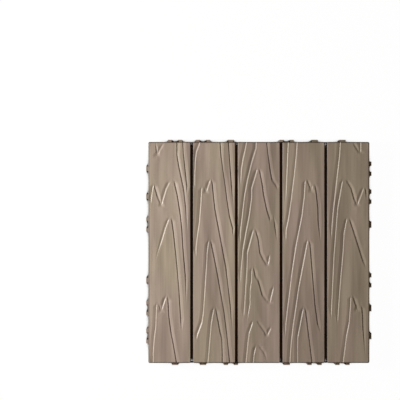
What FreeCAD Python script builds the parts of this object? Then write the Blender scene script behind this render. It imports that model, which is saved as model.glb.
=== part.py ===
import FreeCAD, Part
import os
import re
import Sketcher
from FreeCAD import Vector

# Interlocking deck tile: one square plastic moulding with five slats on top,
# a deep embossed wood grain, a ribbed underside on feet, and posts on all four
# sides that push into the next tile's sockets. Millimetres.
# X runs across the slats, Y along them, Z up. The origin is on the ground
# under the middle of the tile.

doc = FreeCAD.newDocument("DeckTile")
sheet = doc.addObject("Spreadsheet::Sheet", "Sizes")

# driving dimensions
driving = {
    "module": 300.0,          # pitch of laid tiles, both ways
    "joint": 3.2,             # gap between slats, and between laid tiles
    "overall_height": 19.0,
    "notch_depth": 4.8,       # how far a slat gap cuts down into the rim
    "rim_bottom": 7.0,        # drainage height under the rim
    "post_top": 15.4,
    "wall": 2.0,              # rim and slat side walls
    "skin": 2.4,              # slat top
    "rib": 1.8,
    "saddle_top": 11.0,       # top of the cross ribs where they pass a gap
    "corner_radius": 2.0,
    "edge_round": 1.2,
    "foot_length": 10.0,
    "post_reach": 3.0,        # how far the posts stand out from the rim
    "head_thickness": 1.2,    # outer flange of a post, and lip of a socket
    "head_half_width": 4.3,
    "neck_half_width": 3.0,
    "socket_half_width": 9.6,
    "side_clearance": 0.7,    # head to socket side, each side
    "lip_catch": 0.4,         # head behind lip, each side
    "grain_depth": 0.7,
    "grain_riser": 0.8,       # width of a grain line's steep side
    "grain_ramp": 5.2,        # width of its gentle side
}

slat_count = 5
rib_rows = 7                  # cross ribs, each with a row of feet

# sizes that follow from the ones above
derived = {
    "field": "=module - joint",
    "slat_pitch": f"=module / {slat_count}",
    "slat_width": "=slat_pitch - joint",
    "rib_pitch": f"=module / {rib_rows + 1}",
    "notch_floor": "=overall_height - notch_depth",
    "cavity_top": "=overall_height - skin",
    "cavity_half_width": "=head_half_width + side_clearance",
    "lip_half_width": "=head_half_width - lip_catch",
    "first_slat": f"=0 - slat_pitch * {(slat_count - 1) / 2}",
    "first_gap": f"=0 - slat_pitch * {(slat_count - 2) / 2}",
    "first_rib": f"=0 - rib_pitch * {(rib_rows - 1) / 2}",
    "long_rib_pitch": "=(slat_width / 2 - wall + rib / 2) / 2",
}

for row, (alias, value) in enumerate(list(driving.items()) + list(derived.items()), 1):
    sheet.set(f"A{row}", alias)
    sheet.set(f"B{row}", str(value))
    sheet.setAlias(f"B{row}", alias)
doc.recompute()


def sized(text):
    """The same expression with each size name looked up in the sheet."""
    return re.sub(r"[a-z_]+", lambda word: "Sizes." + word[0], text)


def number(expression):
    """What an expression comes to with the present sizes."""
    filledIn = re.sub(r"[a-z_]+", lambda word: str(sheet.get(word[0])), expression)
    return float(sheet.evalExpression(filledIn))


def planeOf(body, role):
    """One of a body's own origin planes or axes."""
    return next(item for item in body.Origin.OriginFeatures if item.Role == role)


def rectangle(left, right, bottom, top):
    return [(left, bottom), (right, bottom), (right, top), (left, top)]


def outlineSketch(body, name, height, outlines):
    """A sketch at a height above the ground. Each corner of an outline is a pair of
    expressions, and is held by its two distances from the origin."""
    sketch = body.newObject("Sketcher::SketchObject", name + "_outline")
    sketch.AttachmentSupport = [(planeOf(body, "XY_Plane"), "")]
    sketch.MapMode = "FlatFace"
    sketch.setExpression(".AttachmentOffset.Base.z", sized(height))
    for outline in outlines:
        corners = [Vector(number(x), number(y), 0) for x, y in outline]
        first = sketch.GeometryCount
        for corner, after in zip(corners, corners[1:] + corners[:1]):
            sketch.addGeometry(Part.LineSegment(corner, after))
        for index, corner in enumerate(outline):
            line = first + index
            before = first + (index - 1) % len(outline)
            sketch.addConstraint(Sketcher.Constraint("Coincident", before, 2, line, 1))
            for kind, expression in zip(("DistanceX", "DistanceY"), corner):
                distance = Sketcher.Constraint(kind, -1, 1, line, 1, number(expression))
                held = sketch.addConstraint(distance)
                sketch.setExpression(f"Constraints[{held}]", sized(expression))
    return sketch


def raised(body, name, height, outlines, length, kind="Pad"):
    """A pad, or a pocket, that goes up from its outlines."""
    sketch = outlineSketch(body, name, height, outlines)
    feature = body.newObject("PartDesign::" + kind, name)
    feature.Profile = sketch
    feature.setExpression("Length", sized(length))
    feature.Reversed = kind == "Pocket"
    doc.recompute()
    return feature


def repeated(body, feature, axis, count, spacing, rows=1, rowSpacing="0"):
    """Copies of a feature in a row along one of the body's axes, and in rows along Y."""
    pattern = body.newObject("PartDesign::LinearPattern", feature.Name + "_row")
    pattern.Originals = [feature]
    pattern.Direction = (planeOf(body, axis), [""])
    pattern.Mode = "Spacing"
    pattern.setExpression("Offset", sized(spacing))
    pattern.Occurrences = count
    if rows > 1:
        pattern.Direction2 = (planeOf(body, "Y_Axis"), [""])
        pattern.Mode2 = "Spacing"
        pattern.setExpression("Offset2", sized(rowSpacing))
        pattern.Occurrences2 = rows
    body.Tip = pattern
    doc.recompute()


def rounded(body, name, radius, chosen):
    """Rounds every edge that passes a test."""
    base = body.Tip
    names = [f"Edge{index}" for index, edge in enumerate(base.Shape.Edges, 1) if chosen(edge)]
    fillet = body.newObject("PartDesign::Fillet", name)
    fillet.Base = (base, names)
    fillet.setExpression("Radius", sized(radius))
    body.Tip = fillet
    doc.recompute()


def isUpright(edge):
    return edge.BoundBox.ZLength > number("notch_depth") - 0.01


def isOnTop(edge):
    return edge.BoundBox.ZMin > number("overall_height") - 0.01


# deck: a square plate under five separate slat blocks, flush with it all round
deck = doc.addObject("PartDesign::Body", "deck")
rim = "field / 2"
slatSides = ("first_slat - slat_width / 2", "first_slat + slat_width / 2")
plate = [rectangle("-" + rim, rim, "-" + rim, rim)]
raised(deck, "plate", "rim_bottom", plate, "notch_floor - rim_bottom")
slat = [rectangle(*slatSides, "-" + rim, rim)]
slat = raised(deck, "slat", "notch_floor", slat, "notch_depth")
repeated(deck, slat, "X_Axis", slat_count, "slat_pitch")
rounded(deck, "corners", "corner_radius", isUpright)
rounded(deck, "top_edges", "edge_round", isOnTop)

# each slat is hollow from below, and so is the slot between two slats; the upper
# half of the cross ribs fills the hollows but leaves the slots open
inner = "(field / 2 - wall)"
ribSides = ("first_rib - rib / 2", "first_rib + rib / 2")
hollowSides = (slatSides[0] + " + wall", slatSides[1] + " - wall")
slotSides = ("first_gap - joint / 2", "first_gap + joint / 2")
hollow = [rectangle(*hollowSides, "-" + inner, inner)]
hollow = raised(deck, "hollow", "rim_bottom", hollow, "cavity_top - rim_bottom", "Pocket")
repeated(deck, hollow, "X_Axis", slat_count, "slat_pitch")
upperRib = [rectangle("-" + inner, inner, *ribSides)]
upperRib = raised(deck, "upper_rib", "saddle_top", upperRib, "cavity_top - saddle_top")
repeated(deck, upperRib, "Y_Axis", rib_rows, "rib_pitch")
slot = [rectangle(*slotSides, "-" + inner, inner)]
slot = raised(deck, "slot", "rim_bottom", slot, "overall_height - rim_bottom", "Pocket")
repeated(deck, slot, "X_Axis", slat_count - 1, "slat_pitch")

# lattice: the lower half of the cross ribs runs right across, and three ribs run
# along each slat
lattice = doc.addObject("PartDesign::Body", "lattice")
lowerRib = [rectangle("-" + inner, inner, *ribSides)]
lowerRib = raised(lattice, "lower_rib", "rim_bottom", lowerRib, "saddle_top - rim_bottom")
repeated(lattice, lowerRib, "Y_Axis", rib_rows, "rib_pitch")
longRibs = []
for shift in (" - long_rib_pitch", "", " + long_rib_pitch"):
    middle = "first_slat" + shift
    longRibs.append(rectangle(middle + " - rib / 2", middle + " + rib / 2", "-" + inner, inner))
longRibs = raised(lattice, "long_ribs", "rim_bottom", longRibs, "cavity_top - rim_bottom")
repeated(lattice, longRibs, "X_Axis", slat_count, "slat_pitch")


def foot(middle, row, uprights):
    """A foot in plan: a bar across and the given uprights along it, so a cross or an H."""
    side = row + " - rib / 2"
    end = row + " - foot_length / 2"
    front = [(middle + " - foot_length / 2", side)]
    for near, far in uprights:
        front += [(middle + near, side), (middle + near, end)]
        front += [(middle + far, end), (middle + far, side)]
    front += [(middle + " + foot_length / 2", side)]
    return front + [(x, y.replace("-", "+")) for x, y in reversed(front)]


# feet: short lengths of rib that go on down to the ground. They stand by turns under
# the slots, joined to the sides of two slats, and crossed under the slats' middles
slotSideWalls = [(" - joint / 2 - wall", " - joint / 2"), (" + joint / 2", " + joint / 2 + wall")]
slotFoot = foot("first_gap", "first_rib", slotSideWalls)
slotFoot = raised(lattice, "slot_foot", "0", [slotFoot], "rim_bottom")
repeated(lattice, slotFoot, "X_Axis", slat_count - 1, "slat_pitch", rib_rows // 2 + 1, "rib_pitch * 2")
slatFoot = foot("first_slat", "first_rib + rib_pitch", [(" - rib / 2", " + rib / 2")])
slatFoot = raised(lattice, "slat_foot", "0", [slatFoot], "rim_bottom")
repeated(lattice, slatFoot, "X_Axis", slat_count, "slat_pitch", rib_rows // 2, "rib_pitch * 2")

# Edge posts of the front side: three T shaped posts and three sockets. The set turns
# with the side, so a post meets a socket wherever two tiles lie a module apart.
edges = doc.addObject("PartDesign::Body", "edges")
face = "-field / 2"
behind = "wall - field / 2"
reach = "-field / 2 - post_reach"
neck = reach + " + head_thickness"


def post(at):
    return [
        (f"{at} - neck_half_width", face),
        (f"{at} - neck_half_width", neck),
        (f"{at} - head_half_width", neck),
        (f"{at} - head_half_width", reach),
        (f"{at} + head_half_width", reach),
        (f"{at} + head_half_width", neck),
        (f"{at} + neck_half_width", neck),
        (f"{at} + neck_half_width", face),
    ]


def jaw(at, side):
    """One side of a socket, with its lip turned in."""
    return [
        (f"{at} {side} cavity_half_width", face),
        (f"{at} {side} cavity_half_width", neck),
        (f"{at} {side} lip_half_width", neck),
        (f"{at} {side} lip_half_width", reach),
        (f"{at} {side} socket_half_width", reach),
        (f"{at} {side} socket_half_width", face),
    ]


def root(at, halfWidth):
    """The rim behind a post or socket, carried down to the ground."""
    return rectangle(f"{at} - {halfWidth}", f"{at} + {halfWidth}", face, behind)


postPlaces = (-3, -2, 1)      # in rib pitches along the side from its middle
sideFeatures = []
for index, place in enumerate(postPlaces, 1):
    at = f"rib_pitch * {place}"
    mirrored = f"rib_pitch * {-place}"
    jaws = [jaw(mirrored, "-"), jaw(mirrored, "+")]
    roots = [root(at, "head_half_width"), root(mirrored, "socket_half_width")]
    sideFeatures += [
        raised(edges, f"post_{index}", "0", [post(at)], "post_top"),
        raised(edges, f"socket_{index}", "0", jaws, "post_top"),
        raised(edges, f"roots_{index}", "0", roots, "rim_bottom"),
    ]
fourSides = edges.newObject("PartDesign::PolarPattern", "four_sides")
fourSides.Originals = sideFeatures
fourSides.Axis = (planeOf(edges, "Z_Axis"), [""])
fourSides.Angle = 360
fourSides.Occurrences = 4
edges.Tip = fourSides
doc.recompute()

# Grain: the pattern of sawn wood, in lines that each step down on one side and
# climb back gently. A line is its outer side and its points from top to bottom,
# (across, along) its slat in millimetres, from the slat's middle, as drawn for a slat
# pitch of drawnPitch and a module of drawnModule. It thins out to nothing over its
# first and last lengths, but not where it runs off the tile or meets another line's end.
drawnPitch = 60.0
drawnModule = 300.0
overshoot = 1.2               # the cutting wedge is this many times the groove's size
left, right = -1, 1
grain = [
    [   # first slat
        (left, [(-5, 150), (-10, 141), (-15, 133), (-17.5, 129)]),
        (right, [(-19, 150), (-18.5, 138), (-17.5, 129)]),
        (right, [(9.5, 152), (9.5, 130), (12, 115), (18.5, 84), (21, 60), (24, 20)]),
        (right, [(17, 152), (18, 132), (22.5, 90), (23.5, 70)]),
        (left, [(3, 97), (0, 93), (-4, 85), (-9, 68), (-11, 61)]),
        (right, [(4, 97), (6, 94), (10, 76), (14, 50), (16, 30), (17.5, 5), (20.5, -30), (23, -80)]),
        (left, [(-21, 89), (-22, 86), (-24, 72), (-25, 64)]),
        (right, [(-21, 89), (-19.5, 84), (-17, 75), (-13, 66), (-11, 61)]),
        (left, [(0.5, 47), (-1, 43), (-5, 32), (-9, 18), (-21.5, -18)]),
        (right, [(1.5, 47), (2.5, 43), (5, 25), (9.5, -20), (12, -50), (14.5, -90), (16.5, -112)]),
        (left, [(-16.5, -68), (-17, -72), (-18, -100), (-20, -115), (-21.5, -135), (-21.3, -152)]),
        (right, [(-16, -69), (-14.5, -72), (-12.5, -77), (-10.8, -80)]),
        (left, [(-3.5, -58), (-5, -62), (-10.8, -80)]),
        (right, [(-3, -58), (-2.7, -63), (-1.5, -85), (1, -105), (4, -120), (9.5, -152)]),
    ],
    [   # second slat
        (left, [(-18, 152), (-20, 144), (-23.5, 135), (-25, 122), (-25.8, 100), (-26, 80)]),
        (right, [(7, 152), (8.5, 130), (11, 110), (14, 90), (16.5, 70), (20, 48), (24, 33),
                 (25.5, 18)]),
        (right, [(18, 152), (22.5, 90), (26, 55)]),
        (left, [(-15.5, 89), (-16.5, 84), (-17.5, 65), (-19.5, 40), (-22.5, 20), (-24, 5),
                (-24.5, -10)]),
        (right, [(-15, 89), (-13.5, 85), (-11, 79)]),
        (left, [(-4.5, 99), (-5.5, 95), (-11, 79)]),
        (right, [(-4.2, 99), (-3.5, 94), (0.5, 57), (15, -20), (21, -72), (24.5, -112)]),
        (left, [(-6.5, 18), (-7.5, 12), (-9, 0), (-10, -20), (-14, -80), (-16, -94), (-22, -110),
                (-24.5, -120)]),
        (right, [(-6, 18), (-4.5, 12), (2.5, -23), (12.5, -80), (16, -108), (20.5, -152)]),
        (left, [(0.3, -73), (-0.5, -78), (-3.5, -95), (-8.3, -152)]),
        (right, [(0.8, -73), (2, -78), (6.5, -103), (9.5, -116), (10.2, -135), (10.2, -152)]),
    ],
    [   # third slat
        (left, [(-15.5, 152), (-18, 138), (-21, 125), (-23.3, 110), (-25, 78)]),
        (left, [(-3, 152), (-3.5, 140), (-9.5, 120), (-15, 97), (-19, 75), (-24.5, 26), (-25.2, 10)]),
        (left, [(-1.5, 114), (-2.5, 109), (-9.3, 86), (-9.5, 72), (-12.5, 50), (-17, 27), (-21, 3),
                (-23.5, -25), (-25, -48)]),
        (right, [(-1, 114), (0.5, 109), (4, 90), (5.5, 78), (10, 57), (13.5, 46), (15, 40)]),
        (right, [(9.5, 152), (11, 135), (15, 107), (17, 97), (22, 90), (26, 83)]),
        (left, [(-6.5, 32), (-7.5, 28), (-15, 0), (-15.5, -20), (-19, -75), (-21, -92)]),
        (right, [(-6, 32), (-4.5, 28), (-1.5, 17), (0.5, 0), (4.6, -9), (9, -15.5), (11.8, -17.5)]),
        (left, [(15.2, -3), (14.9, -6), (14, -12), (11.8, -17.5)]),
        (right, [(19.5, 55), (20.5, 36), (25.5, 8)]),
        (left, [(-8.5, -19), (-9, -24), (-9.5, -38), (-11.2, -50), (-11.6, -70), (-17, -98)]),
        (right, [(-8.3, -19), (-7.3, -23), (-5.5, -33), (-1.5, -38), (4, -58), (9, -64), (15.3, -68)]),
        (left, [(20, -44), (19.3, -50), (17, -60), (15.3, -68)]),
        (left, [(-6.8, -91), (-7.8, -94), (-12.5, -108), (-14.4, -122), (-17.3, -152)]),
        (right, [(-6, -91), (-3, -93), (5, -104.5), (10, -112.5)]),
        (left, [(17, -99), (16, -103), (12.5, -110), (10, -112.5)]),
        (left, [(-3, -125), (-4, -128), (-6, -137), (-7.3, -152)]),
        (right, [(-2.5, -125), (0, -127), (5, -133.5), (12.5, -148)]),
    ],
    [   # fourth slat
        (left, [(-20, 152), (-22.4, 95), (-25, 52)]),
        (left, [(-8, 152), (-9.3, 130), (-11.8, 105), (-16, 71), (-19.3, 48), (-23, 30), (-24.3, 8)]),
        (left, [(3, 99), (2.3, 93), (1.3, 75), (-1.7, 50), (-10.4, 5), (-15.5, -30), (-18, -52),
                (-20.5, -70), (-23.3, -95), (-25, -120)]),
        (right, [(3.5, 99), (4.8, 95), (10.5, 80)]),
        (left, [(13, 92), (12, 88), (10.5, 80)]),
        (right, [(13.3, 92), (15, 88), (16.3, 80), (18.5, 60), (19, 40), (24, 4)]),
        (left, [(6, 18), (5.3, 13), (-6, -47), (-13.5, -98), (-16.3, -122), (-18.3, -152)]),
        (right, [(6.5, 18), (7.9, 12), (14.6, -70), (17.9, -95), (24, -110)]),
        (left, [(0.3, -73), (-0.5, -78), (-7.4, -114), (-7.8, -125), (-7.5, -152)]),
        (right, [(0.8, -73), (2, -78), (11, -152)]),
    ],
    [   # fifth slat
        (left, [(-10, 152), (-11.3, 130), (-19.3, 60), (-21.5, 35), (-23, 10)]),
        (right, [(5, 150), (7.5, 143.5), (12, 137), (17, 133.5)]),
        (left, [(17, 152), (17.3, 142), (17, 133.5)]),
        (left, [(-6.5, 98), (-7.7, 94), (-13.7, 60), (-18.8, -5), (-22, -72), (-23.5, -95)]),
        (right, [(-5.5, 98), (-2.5, 95.5), (3, 86), (7, 71.5), (12, 62)]),
        (left, [(21.3, 88), (20.3, 84), (12, 62)]),
        (right, [(21.6, 88), (22.5, 84), (25, 64)]),
        (left, [(0, 47), (-1.7, 44), (-5.2, 25), (-6.5, 2), (-11, -50), (-13, -80), (-15, -102)]),
        (right, [(0.5, 47), (2, 42), (19, -11.5), (25, -23)]),
        (left, [(4.3, -57), (3.8, -62), (3.4, -72), (1.5, -95), (-2, -113), (-7, -152)]),
        (right, [(4.8, -57), (6.5, -62), (9, -70), (11.8, -78)]),
        (left, [(14, -71), (13.3, -74), (11.8, -78)]),
        (right, [(14.5, -71), (17.5, -74), (18.5, -86), (19, -101), (23.5, -148)]),
    ],
]


def grainCut(slatMiddle, outer, points, joined):
    """The wedge that a grain line takes away: a triangle with one steep and one gentle
    side, carried along the line. It narrows to a tip at an end that isn't joined."""
    top = number("overall_height")
    bottom = Vector(outer * number("grain_riser"), 0, -number("grain_depth"))
    near = bottom - bottom * overshoot
    far = bottom + (Vector(outer * number("grain_ramp"), 0, 0) - bottom) * overshoot
    across = number("slat_pitch") / drawnPitch
    along = number("module") / drawnModule
    places = [Vector(slatMiddle + x * across, y * along, top) for x, y in points]
    rings = [[place + corner for corner in (near, bottom, far)] for place in places]
    if not joined[0]:
        rings[0] = [places[0] + near]
    if not joined[1]:
        rings[-1] = [places[-1] + near]
    faces = [ring for ring in (rings[0], rings[-1]) if len(ring) > 1]
    for ring, after in zip(rings, rings[1:]):
        for index in range(3):
            other = (index + 1) % 3
            side = [ring[index % len(ring)], ring[other % len(ring)]]
            side += [after[other % len(after)], after[index % len(after)]]
            # beside a tip two of the four corners are one
            faces.append([corner for place, corner in enumerate(side) if corner != side[place - 1]])
    shell = Part.Shell([Part.Face(Part.makePolygon(face + face[:1])) for face in faces])
    solid = Part.Solid(shell)
    return solid if solid.Volume > 0 else solid.reversed()


# the ends that two lines of a slat share are joined, and so are those past its ends
cuts = []
for index, lines in enumerate(grain):
    middle = number("first_slat") + index * number("slat_pitch")
    ends = [point for outer, points in lines for point in (points[0], points[-1])]
    for outer, points in lines:
        bothEnds = (points[0], points[-1])
        joined = [abs(end[1]) > drawnModule / 2 or ends.count(end) > 1 for end in bothEnds]
        cuts.append(grainCut(middle, outer, points, joined))
grainCuts = doc.addObject("Part::Feature", "grain_cuts")
grainCuts.Shape = Part.makeCompound(cuts)

grainedDeck = doc.addObject("Part::Cut", "grained_deck")
grainedDeck.Base = deck
grainedDeck.Tool = grainCuts
tile = doc.addObject("Part::MultiFuse", "deck_tile")
tile.Shapes = [grainedDeck, lattice, edges]
tile.Refine = True
doc.recompute()

for item in doc.Objects:
    if "Invalid" in item.State or "Error" in item.State:
        raise ValueError(f"{item.Label} did not rebuild")
if tile.Shape.isNull() or not tile.Shape.isValid():
    raise ValueError("the tile's solid is not valid")

os.makedirs("parts", exist_ok=True)
tile.Shape.exportStep("parts/deck_tile.step")
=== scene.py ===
import math
import bmesh
import bpy
import numpy as np
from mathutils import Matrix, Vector


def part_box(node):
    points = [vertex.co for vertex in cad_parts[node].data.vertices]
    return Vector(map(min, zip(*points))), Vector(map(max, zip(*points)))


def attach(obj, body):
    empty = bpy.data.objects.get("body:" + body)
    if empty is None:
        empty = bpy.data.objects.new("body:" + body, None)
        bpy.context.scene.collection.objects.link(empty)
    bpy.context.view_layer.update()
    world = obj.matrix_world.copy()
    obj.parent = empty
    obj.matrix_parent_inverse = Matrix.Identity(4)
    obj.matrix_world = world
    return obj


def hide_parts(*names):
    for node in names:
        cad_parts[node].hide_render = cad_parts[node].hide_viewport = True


# Interlocking deck tile: five slats with a moulded wood grain over a ribbed base.
# Metres throughout. X runs across the slats, Y along them.

print("frame")
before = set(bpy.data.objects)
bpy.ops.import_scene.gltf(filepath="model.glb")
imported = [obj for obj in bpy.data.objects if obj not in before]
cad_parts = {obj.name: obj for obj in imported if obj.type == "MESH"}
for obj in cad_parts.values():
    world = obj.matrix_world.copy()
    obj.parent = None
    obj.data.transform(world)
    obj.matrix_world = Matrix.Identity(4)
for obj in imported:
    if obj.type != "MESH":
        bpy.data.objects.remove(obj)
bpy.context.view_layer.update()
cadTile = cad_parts["deck_tile"]
lowCorner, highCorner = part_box("deck_tile")

# The layout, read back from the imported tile
layout = {"slatCount": 5, "postReach": 0.003, "joint": 0.0032}
top = highCorner.z
field = highCorner.x - lowCorner.x - 2 * layout["postReach"]
slatPitch = (field + layout["joint"]) / layout["slatCount"]
slatWidth = slatPitch - layout["joint"]


# Helpers shared by the pieces

def addNode(tree, kind, at, values=None, **settings):
    node = tree.nodes.new(kind)
    node.location = at
    for name, value in settings.items():
        setattr(node, name, value)
    for name, value in (values or {}).items():
        node.inputs[name].default_value = value
    return node


def newObject(name, mesh):
    thing = bpy.data.objects.new(name, mesh)
    bpy.context.scene.collection.objects.link(thing)
    return thing


def applied(thing):
    # The evaluated mesh replaces the modifiers
    graph = bpy.context.evaluated_depsgraph_get()
    mesh = bpy.data.meshes.new_from_object(thing.evaluated_get(graph), depsgraph=graph)
    thing.modifiers.clear()
    thing.data = mesh
    return thing


# The tone and fine relief of a moulded wood imitation, shared by every material

grainNoise = {
    "bands": ((70, 6, 45), 2),        # broad soft bands along the slat
    "streaks": ((700, 20, 300), 3),   # narrow streaks
    "speckle": ((2600, 1800, 2600), 2),
    "drift": ((38, 9, 30), 3),        # slow change of hue
}
grainMix = {"streaksInTone": 0.2, "speckleInHeight": 0.25}


def mouldedGrain():
    group = bpy.data.node_groups.new("mouldedGrain", "ShaderNodeTree")
    face = group.interface
    face.new_socket("Place", in_out="INPUT", socket_type="NodeSocketVector")
    face.new_socket("Tone", in_out="OUTPUT", socket_type="NodeSocketFloat")
    face.new_socket("Height", in_out="OUTPUT", socket_type="NodeSocketFloat")
    face.new_socket("Speckle", in_out="OUTPUT", socket_type="NodeSocketFloat")
    face.new_socket("Drift", in_out="OUTPUT", socket_type="NodeSocketFloat")
    start = addNode(group, "NodeGroupInput", (-900, 0))
    end = addNode(group, "NodeGroupOutput", (500, 0))
    layers = {}
    for row, (name, (stretch, detail)) in enumerate(grainNoise.items()):
        stretched = addNode(group, "ShaderNodeVectorMath", (-700, -220 * row), operation="MULTIPLY")
        stretched.inputs[1].default_value = stretch
        noise = addNode(group, "ShaderNodeTexNoise", (-500, -220 * row),
                        {"Scale": 1.0, "Detail": detail})
        group.links.new(start.outputs["Place"], stretched.inputs[0])
        group.links.new(stretched.outputs[0], noise.inputs["Vector"])
        layers[name] = noise.outputs["Fac"]
    tone = addNode(group, "ShaderNodeMix", (-200, 0), {"Factor": grainMix["streaksInTone"]})
    group.links.new(layers["bands"], tone.inputs["A"])
    group.links.new(layers["streaks"], tone.inputs["B"])
    height = addNode(group, "ShaderNodeMix", (-200, -220), {"Factor": grainMix["speckleInHeight"]})
    group.links.new(layers["streaks"], height.inputs["A"])
    group.links.new(layers["speckle"], height.inputs["B"])
    group.links.new(tone.outputs["Result"], end.inputs["Tone"])
    group.links.new(height.outputs["Result"], end.inputs["Height"])
    group.links.new(layers["speckle"], end.inputs["Speckle"])
    group.links.new(layers["drift"], end.inputs["Drift"])
    return group


# Painted shade in nooks, and pale edges that are partly rubbing and partly a painted highlight,
# shared by every material

# How like the surface's normal the rounded one is: edge not paled, and edge fully paled by rubbing
# and a painted highlight
rubAndHighlightLikeness = {"From Min": 0.99, "From Max": 0.88}


def paintedLightAndMouldingWear():
    group = bpy.data.node_groups.new("paintedLightAndMouldingWear", "ShaderNodeTree")
    face = group.interface
    face.new_socket("Reach", in_out="INPUT", socket_type="NodeSocketFloat")
    face.new_socket("Edge Width", in_out="INPUT", socket_type="NodeSocketFloat")
    face.new_socket("Openness", in_out="OUTPUT", socket_type="NodeSocketFloat")
    face.new_socket("Rub", in_out="OUTPUT", socket_type="NodeSocketFloat")
    start = addNode(group, "NodeGroupInput", (-900, 0))
    end = addNode(group, "NodeGroupOutput", (300, 0))
    # Ambient occlusion darkens the colour in nooks and recesses: painted shade
    nook = addNode(group, "ShaderNodeAmbientOcclusion", (-650, 200))
    # The rounded normal finds convex edges, which are paled: partly rubbing, partly a painted
    # highlight
    rounded = addNode(group, "ShaderNodeBevel", (-650, -50), samples=4)
    surface = addNode(group, "ShaderNodeNewGeometry", (-650, -250))
    likeness = addNode(group, "ShaderNodeVectorMath", (-450, -100), operation="DOT_PRODUCT")
    edge = addNode(group, "ShaderNodeMapRange", (-250, -100), rubAndHighlightLikeness)
    rubAndHighlight = addNode(group, "ShaderNodeMath", (0, 0), operation="MULTIPLY")
    group.links.new(start.outputs["Reach"], nook.inputs["Distance"])
    group.links.new(start.outputs["Edge Width"], rounded.inputs["Radius"])
    group.links.new(rounded.outputs["Normal"], likeness.inputs[0])
    group.links.new(surface.outputs["Normal"], likeness.inputs[1])
    group.links.new(likeness.outputs["Value"], edge.inputs["Value"])
    group.links.new(edge.outputs["Result"], rubAndHighlight.inputs[0])
    group.links.new(nook.outputs["AO"], rubAndHighlight.inputs[1])
    group.links.new(nook.outputs["AO"], end.inputs["Openness"])
    group.links.new(rubAndHighlight.outputs[0], end.inputs["Rub"])
    return group


grainGroup = mouldedGrain()
paintedLightAndWearGroup = paintedLightAndMouldingWear()


def colourRamp(tree, at, source, stops):
    ramp = addNode(tree, "ShaderNodeValToRGB", at)
    elements = ramp.color_ramp.elements
    while len(elements) < len(stops):
        elements.new(1.0)
    for element, (position, colour) in zip(elements, stops):
        element.position = position
        element.color = (*colour, 1)
    tree.links.new(source, ramp.inputs["Fac"])
    return ramp.outputs["Color"]


def tilePlastic(name, look):
    material = bpy.data.materials.new(name)
    material.use_nodes = True
    tree = material.node_tree
    shader = tree.nodes["Principled BSDF"]
    place = addNode(tree, "ShaderNodeTexCoord", (-1500, 0))
    grain = addNode(tree, "ShaderNodeGroup", (-1300, 0))
    grain.node_tree = grainGroup
    tree.links.new(place.outputs["Object"], grain.inputs["Place"])
    paintedLightAndWear = addNode(tree, "ShaderNodeGroup", (-1300, 300))
    paintedLightAndWear.node_tree = paintedLightAndWearGroup
    paintedLightAndWear.inputs["Reach"].default_value = look["nookShadeReach"]
    paintedLightAndWear.inputs["Edge Width"].default_value = look["edgeWidth"]
    inset = addNode(tree, "ShaderNodeAttribute", (-1300, 500), attribute_name="inset")
    # The colour is a product: grain, slow hue, painted shade in nooks, edges paled by rubbing and a
    # painted highlight, and painted shade at the outline with a painted highlight band inside it
    sources = {
        "tone": grain.outputs["Tone"],
        "drift": grain.outputs["Drift"],
        "nookShade": paintedLightAndWear.outputs["Openness"],
        "rubAndHighlight": paintedLightAndWear.outputs["Rub"],
        "outline": inset.outputs["Fac"],
    }
    colour = None
    for row, layer in enumerate(item for item in sources if item in look):
        tint = colourRamp(tree, (-1000, 250 * row), sources[layer], look[layer])
        if colour:
            product = addNode(tree, "ShaderNodeVectorMath", (-650 + 150 * row, 250 * row),
                              operation="MULTIPLY")
            tree.links.new(colour, product.inputs[0])
            tree.links.new(tint, product.inputs[1])
            tint = product.outputs[0]
        colour = tint
    tree.links.new(colour, shader.inputs["Base Color"])
    gloss = addNode(tree, "ShaderNodeMapRange", (-400, -150),
                    {"To Min": look["roughness"][0], "To Max": look["roughness"][1]})
    tree.links.new(grain.outputs["Speckle"], gloss.inputs["Value"])
    tree.links.new(gloss.outputs["Result"], shader.inputs["Roughness"])
    bump = addNode(tree, "ShaderNodeBump", (-300, -350),
                   {"Strength": look["bump"], "Distance": look["bumpDepth"]})
    tree.links.new(grain.outputs["Height"], bump.inputs["Height"])
    tree.links.new(bump.outputs["Normal"], shader.inputs["Normal"])
    return material


slatLook = {
    "tone": [(0.34, (0.226, 0.178, 0.132)), (0.64, (0.338, 0.271, 0.205))],
    "drift": [(0.40, (0.985, 1.01, 0.99)), (0.60, (1.01, 0.985, 1.07))],
    # darker in nooks and recesses: painted shade
    "nookShade": [(0.10, (0.10, 0.07, 0.05)), (0.45, (1, 1, 1))],
    # paler convex edges: partly rubbing, partly a painted highlight
    "rubAndHighlight": [(0.0, (1, 1, 1)), (1.0, (1.16, 1.16, 1.16))],
    # painted shade at the slat's outline and sides, with a painted highlight band just inside
    "outline": [(0.0, (0.32, 0.29, 0.26)), (0.3, (0.38, 0.35, 0.32)),
                (0.45, (1.06, 1.06, 1.06)), (0.8, (1, 1, 1))],
    "nookShadeReach": 0.006,
    "edgeWidth": 0.0005,
    "roughness": (0.38, 0.52),
    "bump": 0.35,
    "bumpDepth": 0.0002,
}
baseLook = {
    "tone": [(0.3, (0.170, 0.135, 0.102)), (0.7, (0.250, 0.205, 0.160))],
    "drift": [(0.40, (0.97, 1.0, 0.98)), (0.60, (1.04, 1.0, 1.05))],
    # darker in nooks and recesses: painted shade
    "nookShade": [(0.20, (0.08, 0.05, 0.035)), (0.75, (1, 1, 1))],
    # paler convex edges: partly rubbing, partly a painted highlight
    "rubAndHighlight": [(0.0, (1, 1, 1)), (1.0, (1.3, 1.28, 1.25))],
    "nookShadeReach": 0.008,
    "edgeWidth": 0.0006,
    "roughness": (0.5, 0.65),
    "bump": 0.25,
    "bumpDepth": 0.0002,
}
slatPlastic = tilePlastic("slatPlastic", slatLook)
basePlastic = tilePlastic("basePlastic", baseLook)


# A slat is a rounded block top whose height follows the frame's grain

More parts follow.
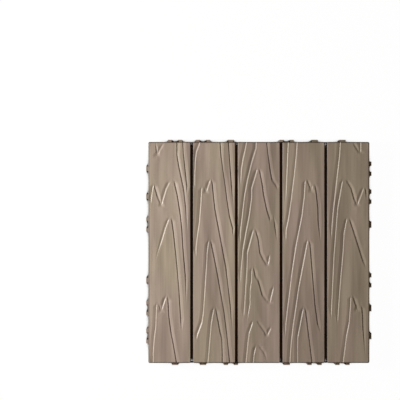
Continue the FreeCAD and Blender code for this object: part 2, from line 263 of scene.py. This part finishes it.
slat = {
    "edgeRound": 0.0012,
    "cornerRadius": 0.002,
    "roundSteps": 6,
    "across": 220,        # cells over the flat part
    "along": 260,
    "wall": 0.0021,       # how far the sides go down
    "grainDepth": 0.0007, # in the frame
    "relief": -0.0014,    # the deepest grain here
    "stepBlur": 3,        # rounds of blur
    "slopeBlur": 60,
    "slopeLoss": 0.6,     # how far the gentle sides are flattened
    "swellDepth": 0.0013,
    "streakDepth": 0.00009,
    "fineDepth": 0.00001,
    "noiseMiddle": 0.62,  # noise above it lifts the surface, and is levelled off
    "probeRise": 0.01,    # the rays start this high above the slat
    "probeReach": 0.02,
    "seed": 4.0,
}


def slatSteps(length, cells):
    # Places over half a rounded edge, the flat part, and the other rounded edge
    rounding = slat["edgeRound"]
    angles = np.radians(np.linspace(90, 0, slat["roundSteps"] + 1))
    inset = np.append(rounding * (1 - np.sin(angles)), slat["cornerRadius"])
    half = length / 2 - slat["cornerRadius"]
    middle = np.linspace(-half, half, cells + 1)
    return np.concatenate([inset[:-1] - length / 2, middle, length / 2 - inset[:-1][::-1]])


def slatBlank(name, middle):
    across = slatSteps(slatWidth, slat["across"])
    along = slatSteps(field, slat["along"])
    u, v = np.meshgrid(across, along)
    radius = slat["cornerRadius"]
    flatHalf = np.array([slatWidth / 2 - radius, field / 2 - radius])
    cornerU = np.clip(np.abs(u) - flatHalf[0], 0, None) / radius
    cornerV = np.clip(np.abs(v) - flatHalf[1], 0, None) / radius
    reach = np.maximum(cornerU, cornerV)
    turned = np.where(reach > 0, reach / np.maximum(np.hypot(cornerU, cornerV), 1e-9), 1)

    def placed(limit):
        # Square corners drawn round, no point nearer to the outline than the limit
        shrink = turned * np.minimum(1, (1 - limit / radius) / np.maximum(reach, 1e-9))
        x = np.sign(u) * np.where(cornerU > 0, flatHalf[0] + cornerU * shrink * radius, np.abs(u))
        y = np.sign(v) * np.where(cornerV > 0, flatHalf[1] + cornerV * shrink * radius, np.abs(v))
        return x + middle, y

    inset = radius * (1 - reach)
    edge = np.clip(slat["edgeRound"] - inset, 0, slat["edgeRound"])
    drop = slat["edgeRound"] - np.sqrt(slat["edgeRound"] ** 2 - edge ** 2)
    x, y = placed(0)
    probeX, probeY = placed(slat["edgeRound"] / 2)
    probeEdge = np.clip(slat["edgeRound"] - np.maximum(inset, slat["edgeRound"] / 2), 0, None)
    probeDrop = slat["edgeRound"] - np.sqrt(slat["edgeRound"] ** 2 - probeEdge ** 2)

    rows, columns = u.shape
    index = np.arange(rows * columns).reshape(rows, columns)
    quads = [index[:-1, :-1], index[:-1, 1:], index[1:, 1:], index[1:, :-1]]
    quads = np.stack(quads, -1).reshape(-1, 4)
    rim = np.concatenate([index[0, :-1], index[:-1, -1], index[-1, :0:-1], index[:0:-1, 0]])
    verts = np.stack([x, y, top - drop], -1).reshape(-1, 3)
    foot = verts[rim].copy()
    foot[:, 2] = top - slat["wall"]
    below = np.arange(len(rim)) + len(verts)
    sides = np.stack([rim, below, np.roll(below, -1), np.roll(rim, -1)], -1)
    mesh = bpy.data.meshes.new(name)
    corners = np.concatenate([verts, foot]).tolist()
    mesh.from_pydata(corners, [], np.concatenate([quads, sides]).tolist())
    probe = np.stack([probeX, probeY, top - probeDrop], -1).reshape(-1, 3)
    fade = np.clip(inset / slat["edgeRound"], 0, 1).reshape(-1)
    probe = np.concatenate([probe, foot])
    fade = np.concatenate([fade, np.zeros(len(foot))])
    mesh.attributes.new("probe", "FLOAT_VECTOR", "POINT").data.foreach_set("vector", probe.ravel())
    mesh.attributes.new("fade", "FLOAT", "POINT").data.foreach_set("value", fade)
    # For the material: 0 at the slat's outline and sides, 1 a corner radius in, or two
    # from the tile's own outline
    # The material paints shade where this is low, and a highlight band a little further in
    outerInset = field / 2 - np.maximum(np.abs(x), np.abs(y))
    away = np.minimum(inset, outerInset / 2) / radius
    away = np.concatenate([away.reshape(-1), np.zeros(len(foot))])
    mesh.attributes.new("inset", "FLOAT", "POINT").data.foreach_set("value", away)
    mesh.update()
    return newObject(name, mesh)


def slatSurface():
    # The frame's grain is probed from above, and long soft streaks are laid over it
    tree = bpy.data.node_groups.new("slatSurface", "GeometryNodeTree")
    face = tree.interface
    face.new_socket("Geometry", in_out="INPUT", socket_type="NodeSocketGeometry")
    face.new_socket("Frame", in_out="INPUT", socket_type="NodeSocketObject")
    face.new_socket("Relief", in_out="INPUT", socket_type="NodeSocketFloat")
    face.new_socket("Swell Depth", in_out="INPUT", socket_type="NodeSocketFloat")
    face.new_socket("Streak Depth", in_out="INPUT", socket_type="NodeSocketFloat")
    face.new_socket("Fine Depth", in_out="INPUT", socket_type="NodeSocketFloat")
    face.new_socket("Seed", in_out="INPUT", socket_type="NodeSocketFloat")
    face.new_socket("Geometry", in_out="OUTPUT", socket_type="NodeSocketGeometry")
    link = tree.links.new
    start = addNode(tree, "NodeGroupInput", (-1500, 0))
    end = addNode(tree, "NodeGroupOutput", (900, 0))
    target = addNode(tree, "GeometryNodeObjectInfo", (-1200, 300))
    link(start.outputs["Frame"], target.inputs["Object"])
    probe = addNode(tree, "GeometryNodeInputNamedAttribute", (-1200, 0), {"Name": "probe"},
                    data_type="FLOAT_VECTOR")
    fade = addNode(tree, "GeometryNodeInputNamedAttribute", (-1200, -200), {"Name": "fade"})
    above = addNode(tree, "ShaderNodeVectorMath", (-950, 0), operation="ADD")
    above.inputs[1].default_value = (0, 0, slat["probeRise"])
    link(probe.outputs["Attribute"], above.inputs[0])
    ray = addNode(tree, "GeometryNodeRaycast", (-700, 200),
                  {"Ray Direction": (0, 0, -1), "Ray Length": slat["probeReach"]})
    link(target.outputs["Geometry"], ray.inputs["Target Geometry"])
    link(above.outputs[0], ray.inputs["Source Position"])
    sunk = addNode(tree, "ShaderNodeVectorMath", (-450, 200), operation="SUBTRACT")
    link(ray.outputs["Hit Position"], sunk.inputs[0])
    link(probe.outputs["Attribute"], sunk.inputs[1])
    parts = addNode(tree, "ShaderNodeSeparateXYZ", (-250, 200))
    link(sunk.outputs[0], parts.inputs[0])
    # The depth as a share of the grain's own. Less a widely blurred copy, the steps stay
    # and the gentle sides flatten out, as on a worn pressed pattern
    share = addNode(tree, "ShaderNodeMath", (-250, 350), operation="DIVIDE")
    share.inputs[1].default_value = -slat["grainDepth"]
    link(parts.outputs["Z"], share.inputs[0])
    blurred = {}
    for name, height in (("stepBlur", 350), ("slopeBlur", 550)):
        blurred[name] = addNode(tree, "GeometryNodeBlurAttribute", (-100, height),
                                {"Iterations": slat[name]})
        link(share.outputs[0], blurred[name].inputs["Value"])
    slope = addNode(tree, "ShaderNodeMath", (50, 550), operation="MULTIPLY")
    steps = addNode(tree, "ShaderNodeMath", (150, 350), operation="SUBTRACT")
    relief = addNode(tree, "ShaderNodeMath", (300, 350), operation="MULTIPLY")
    slope.inputs[1].default_value = slat["slopeLoss"]
    link(blurred["slopeBlur"].outputs[0], slope.inputs[0])
    link(blurred["stepBlur"].outputs[0], steps.inputs[0])
    link(slope.outputs[0], steps.inputs[1])
    link(steps.outputs[0], relief.inputs[0])
    link(start.outputs["Relief"], relief.inputs[1])

    place = addNode(tree, "GeometryNodeInputPosition", (-1200, -400))
    total = relief.outputs[0]
    for row, (stretch, depth, detail) in enumerate((
        ((55, 14, 0), "Swell Depth", 1),
        ((210, 8, 0), "Streak Depth", 1),
        ((1000, 30, 0), "Fine Depth", 3),
    )):
        stretched = addNode(tree, "ShaderNodeVectorMath", (-950, -400 - 250 * row),
                            operation="MULTIPLY")
        stretched.inputs[1].default_value = stretch
        noise = addNode(tree, "ShaderNodeTexNoise", (-700, -400 - 250 * row),
                        {"Scale": 1.0, "Detail": detail}, noise_dimensions="4D")
        centred = addNode(tree, "ShaderNodeMath", (-450, -400 - 250 * row), operation="SUBTRACT")
        centred.inputs[1].default_value = slat["noiseMiddle"]
        scaled = addNode(tree, "ShaderNodeMath", (-250, -400 - 250 * row), operation="MULTIPLY")
        summed = addNode(tree, "ShaderNodeMath", (150 + 150 * row, -200), operation="ADD")
        link(place.outputs[0], stretched.inputs[0])
        link(stretched.outputs[0], noise.inputs["Vector"])
        link(start.outputs["Seed"], noise.inputs["W"])
        link(noise.outputs["Fac"], centred.inputs[0])
        link(centred.outputs[0], scaled.inputs[0])
        link(start.outputs[depth], scaled.inputs[1])
        link(total, summed.inputs[0])
        link(scaled.outputs[0], summed.inputs[1])
        total = summed.outputs[0]
    level = addNode(tree, "ShaderNodeMath", (600, -200), operation="MINIMUM")
    level.inputs[1].default_value = 0.0
    link(total, level.inputs[0])
    faded = addNode(tree, "ShaderNodeMath", (750, -200), operation="MULTIPLY")
    link(level.outputs[0], faded.inputs[0])
    link(fade.outputs["Attribute"], faded.inputs[1])
    lift = addNode(tree, "ShaderNodeCombineXYZ", (550, -50))
    link(faded.outputs[0], lift.inputs["Z"])
    moved = addNode(tree, "GeometryNodeSetPosition", (650, 0))
    link(start.outputs["Geometry"], moved.inputs["Geometry"])
    link(lift.outputs[0], moved.inputs["Offset"])
    smooth = addNode(tree, "GeometryNodeSetShadeSmooth", (700, 150))
    realized = addNode(tree, "GeometryNodeRealizeInstances", (750, 0))
    finish = addNode(tree, "GeometryNodeSetMaterial", (800, 0))
    finish.inputs["Material"].default_value = slatPlastic
    link(moved.outputs[0], smooth.inputs[0])
    link(smooth.outputs[0], realized.inputs[0])
    link(realized.outputs[0], finish.inputs["Geometry"])
    link(finish.outputs[0], end.inputs["Geometry"])
    return tree


def setInput(modifier, name, value):
    socket = next(item for item in modifier.node_group.interface.items_tree
                  if item.name == name and item.in_out == "INPUT")
    modifier[socket.identifier] = value


print("slats")
surface = slatSurface()
for number in range(layout["slatCount"]):
    middle = slatPitch * (number - (layout["slatCount"] - 1) / 2)
    piece = slatBlank(f"slat_{number + 1}", middle)
    modifier = piece.modifiers.new("surface", "NODES")
    modifier.node_group = surface
    setInput(modifier, "Frame", cadTile)
    setInput(modifier, "Relief", slat["relief"])
    setInput(modifier, "Swell Depth", slat["swellDepth"])
    setInput(modifier, "Streak Depth", slat["streakDepth"])
    setInput(modifier, "Fine Depth", slat["fineDepth"])
    setInput(modifier, "Seed", slat["seed"] + number)
    applied(piece)
    for spent in ("probe", "fade"):
        piece.data.attributes.remove(piece.data.attributes[spent])
    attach(piece, "root")
    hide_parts("deck_tile")


# The base is the rim, ribs, feet and edge posts, as in the frame below the slat tops

baseCut = {"mergeDistance": 1e-6, "flatAngle": 1.0}   # metres, degrees


def tileBase():
    mesh = cadTile.data.copy()
    mesh.name = "tile_base"
    cut = bmesh.new()
    cut.from_mesh(mesh)
    bmesh.ops.remove_doubles(cut, verts=cut.verts, dist=baseCut["mergeDistance"])
    whole = cut.verts[:] + cut.edges[:] + cut.faces[:]
    height = top - slat["wall"]
    bmesh.ops.bisect_plane(cut, geom=whole, plane_co=(0, 0, height), plane_no=(0, 0, 1),
                           clear_outer=True)
    bmesh.ops.dissolve_limit(cut, angle_limit=math.radians(baseCut["flatAngle"]),
                             verts=cut.verts, edges=cut.edges)
    cut.to_mesh(mesh)
    cut.free()
    mesh.materials.clear()
    mesh.materials.append(basePlastic)
    return newObject("tile_base", mesh)


print("base")
base = tileBase()
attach(base, "root")
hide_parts("deck_tile")


# Floor, light and camera

print("stage")
studio = {
    "floorSize": 6.0,
    "floorColour": (0.9, 0.9, 0.9, 1),
    "floorRoughness": 0.9,
    "floorGlow": 0.98,             # share of plain white in what the camera sees
    "floorReach": 0.036,           # how far the contact shadow spreads
    "floorShade": [(0.38, (0.010, 0.004, 0.0015)), (0.53, (1, 1, 1))],
    "keyPlace": (-0.93, 0.15, 0.56),
    "keySize": 0.19,
    "keyPower": 18.2,
    "world": 0.21,
    "worldColour": (1.0, 0.86, 0.72, 1),   # warm, so the shadows are browner than the lit faces
}
view = {
    "metresPerPixel": 0.001342,
    "pixels": 400,
    "tileMiddle": (258.9, 252.5),
    "distance": 2.4,
    "sensorWidth": 36,
}


def studioFloor():
    half = studio["floorSize"] / 2
    mesh = bpy.data.meshes.new("floor")
    corners = [(-half, -half, 0), (half, -half, 0), (half, half, 0), (-half, half, 0)]
    mesh.from_pydata(corners, [], [(0, 1, 2, 3)])
    material = bpy.data.materials.new("floorWhite")
    material.use_nodes = True
    tree = material.node_tree
    shader = tree.nodes["Principled BSDF"]
    shader.inputs["Base Color"].default_value = studio["floorColour"]
    shader.inputs["Roughness"].default_value = studio["floorRoughness"]
    # The camera, glossy and glass rays see mostly plain white, shaded close to the tile
    rays = addNode(tree, "ShaderNodeLightPath", (-600, 400))
    glossy = addNode(tree, "ShaderNodeMath", (-400, 400), operation="MAXIMUM")
    clear = addNode(tree, "ShaderNodeMath", (-200, 400), operation="MAXIMUM")
    share = addNode(tree, "ShaderNodeMath", (0, 400), operation="MULTIPLY")
    share.inputs[1].default_value = studio["floorGlow"]
    contact = addNode(tree, "ShaderNodeAmbientOcclusion", (-400, 150),
                      {"Distance": studio["floorReach"]})
    white = addNode(tree, "ShaderNodeEmission", (0, 150))
    mixed = addNode(tree, "ShaderNodeMixShader", (300, 300))
    end = tree.nodes["Material Output"]
    tree.links.new(rays.outputs["Is Camera Ray"], glossy.inputs[0])
    tree.links.new(rays.outputs["Is Glossy Ray"], glossy.inputs[1])
    tree.links.new(glossy.outputs[0], clear.inputs[0])
    tree.links.new(rays.outputs["Is Transmission Ray"], clear.inputs[1])
    tree.links.new(clear.outputs[0], share.inputs[0])
    shaded = colourRamp(tree, (-250, 150), contact.outputs["AO"], studio["floorShade"])
    tree.links.new(shaded, white.inputs["Color"])
    tree.links.new(share.outputs[0], mixed.inputs["Fac"])
    tree.links.new(shader.outputs[0], mixed.inputs[1])
    tree.links.new(white.outputs[0], mixed.inputs[2])
    tree.links.new(mixed.outputs[0], end.inputs["Surface"])
    mesh.materials.append(material)
    return newObject("floor", mesh)


def areaLight(name, place, size, power, aim=(0, 0, 0)):
    light = bpy.data.lights.new(name, "AREA")
    light.shape = "DISK"
    light.size = size
    light.energy = power
    lamp = newObject(name, light)
    lamp.location = place
    lamp.rotation_euler = (Vector(aim) - Vector(place)).to_track_quat("-Z", "Y").to_euler()
    return lamp


studioFloor()
areaLight("keyLight", studio["keyPlace"], studio["keySize"], studio["keyPower"])
world = bpy.data.worlds.new("studio")
world.use_nodes = True
world.node_tree.nodes["Background"].inputs["Color"].default_value = studio["worldColour"]
world.node_tree.nodes["Background"].inputs["Strength"].default_value = studio["world"]
bpy.context.scene.world = world
bpy.context.scene.view_settings.view_transform = "Standard"

lens = bpy.data.cameras.new("camera")
lens.sensor_width = view["sensorWidth"]
lens.lens = lens.sensor_width * view["distance"] / (view["pixels"] * view["metresPerPixel"])
camera = newObject("camera", lens)
camera.location = (
    (view["pixels"] / 2 - view["tileMiddle"][0]) * view["metresPerPixel"],
    (view["tileMiddle"][1] - view["pixels"] / 2) * view["metresPerPixel"],
    top + view["distance"],
)
bpy.context.scene.camera = camera

print("finish")
